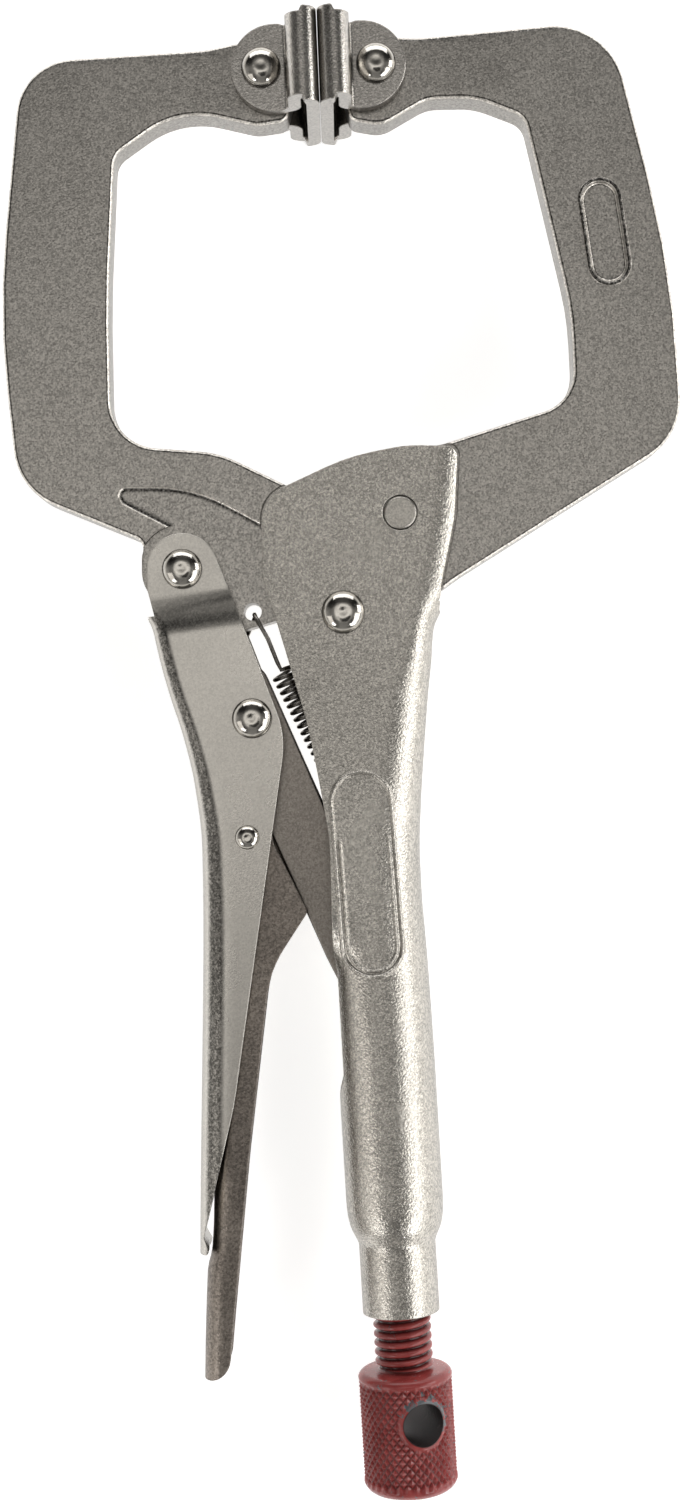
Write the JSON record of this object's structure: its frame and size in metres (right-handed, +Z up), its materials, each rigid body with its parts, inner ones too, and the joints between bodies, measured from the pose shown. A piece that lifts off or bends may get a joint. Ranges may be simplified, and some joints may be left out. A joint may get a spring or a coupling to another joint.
{
  "type": "locking c clamp",
  "caption": "Locking C clamp with forged C jaws, folded swivel pads, a toggle link, a release lever, a return spring and a knurled adjusting screw.",
  "frame": {"origin": "centre of the bounding box's lower face, with the closed clamp lying on its side", "axes": "+Y from the adjusting screw to the pads, +X from the movable jaw to the fixed jaw, +Z up through the clamp's thickness along the pivots"},
  "size_m": [0.1293, 0.282, 0.03],
  "materials": {
    "forged_steel": "satin nickel over forged steel",
    "pressed_steel": "satin nickel over pressed sheet steel",
    "handle_steel": "smooth nickel over sheet steel",
    "lever_steel": "dark nickel over sheet steel",
    "pad_steel": "bright satin nickel",
    "rivet_steel": "polished",
    "spring_steel": "dark drawn wire",
    "red_paint": "glossy dark red, worn on the knurl"
  },
  "bodies": {
    "fixed_side": {"fixed_handle": "pressed_steel", "fixed_jaw": "forged_steel", "fixed_jaw_rivet": "pressed_steel", "jaw_pivot_rivet": "rivet_steel", "fixed_pad_rivet": "rivet_steel", "return_spring": "spring_steel"},
    "opening_jaw": {"movable_jaw": "forged_steel", "movable_pad_rivet": "rivet_steel", "handle_pivot_rivet": "rivet_steel"},
    "opening_handle": {"movable_handle": "handle_steel", "link_pivot_rivet": "rivet_steel", "release_lever_rivet": "rivet_steel"},
    "link": {"toggle_link": "handle_steel"},
    "lever": {"release_lever": "lever_steel"},
    "screw": {"adjusting_screw": "red_paint"},
    "fixed_swivel": {"fixed_pad": "pad_steel"},
    "opening_swivel": {"movable_pad": "pad_steel"}
  },
  "joints": [
    {"name": "jaw_pivot", "type": "hinge", "parent": "fixed_side", "child": "opening_jaw", "pos_m": [0.00005, 0.0283, 0.01502], "axis": [0, 0, 1], "range_deg": [0, 34], "deforming": ["return_spring"]},
    {"name": "handle_pivot", "type": "hinge", "parent": "opening_jaw", "child": "opening_handle", "pos_m": [-0.03065, 0.0365, 0.01502], "axis": [0, 0, 1], "range_deg": [-82, 0]},
    {"name": "link_pivot", "type": "hinge", "parent": "opening_handle", "child": "link", "pos_m": [-0.01725, 0.008, 0.01502], "axis": [0, 0, 1], "range_deg": [0, 80]},
    {"name": "release_lever_pivot", "type": "hinge", "parent": "opening_handle", "child": "lever", "pos_m": [-0.01815, -0.0146, 0.01502], "axis": [0, 0, 1], "range_deg": [0, 8]},
    {"name": "screw_turn", "type": "hinge", "parent": "fixed_side", "child": "screw", "pos_m": [0.00785, -0.0484, 0.01502], "axis": [-0.0595, 0.9982, 0], "continuous": true},
    {"name": "fixed_pad_swivel", "type": "hinge", "parent": "fixed_side", "child": "fixed_swivel", "pos_m": [0.00625, 0.1325, 0.01502], "axis": [0, 0, 1], "range_deg": [0, 17]},
    {"name": "movable_pad_swivel", "type": "hinge", "parent": "opening_jaw", "child": "opening_swivel", "pos_m": [-0.01555, 0.1316, 0.01502], "axis": [0, 0, 1], "range_deg": [-17, 0]}
  ],
  "couplings": [
    {"joint": "handle_pivot", "follows": "jaw_pivot", "ratio": -2.4},
    {"joint": "link_pivot", "follows": "jaw_pivot", "ratio": 2.34},
    {"joint": "fixed_pad_swivel", "follows": "jaw_pivot", "ratio": 0.5},
    {"joint": "movable_pad_swivel", "follows": "jaw_pivot", "ratio": -0.5}
  ]
}
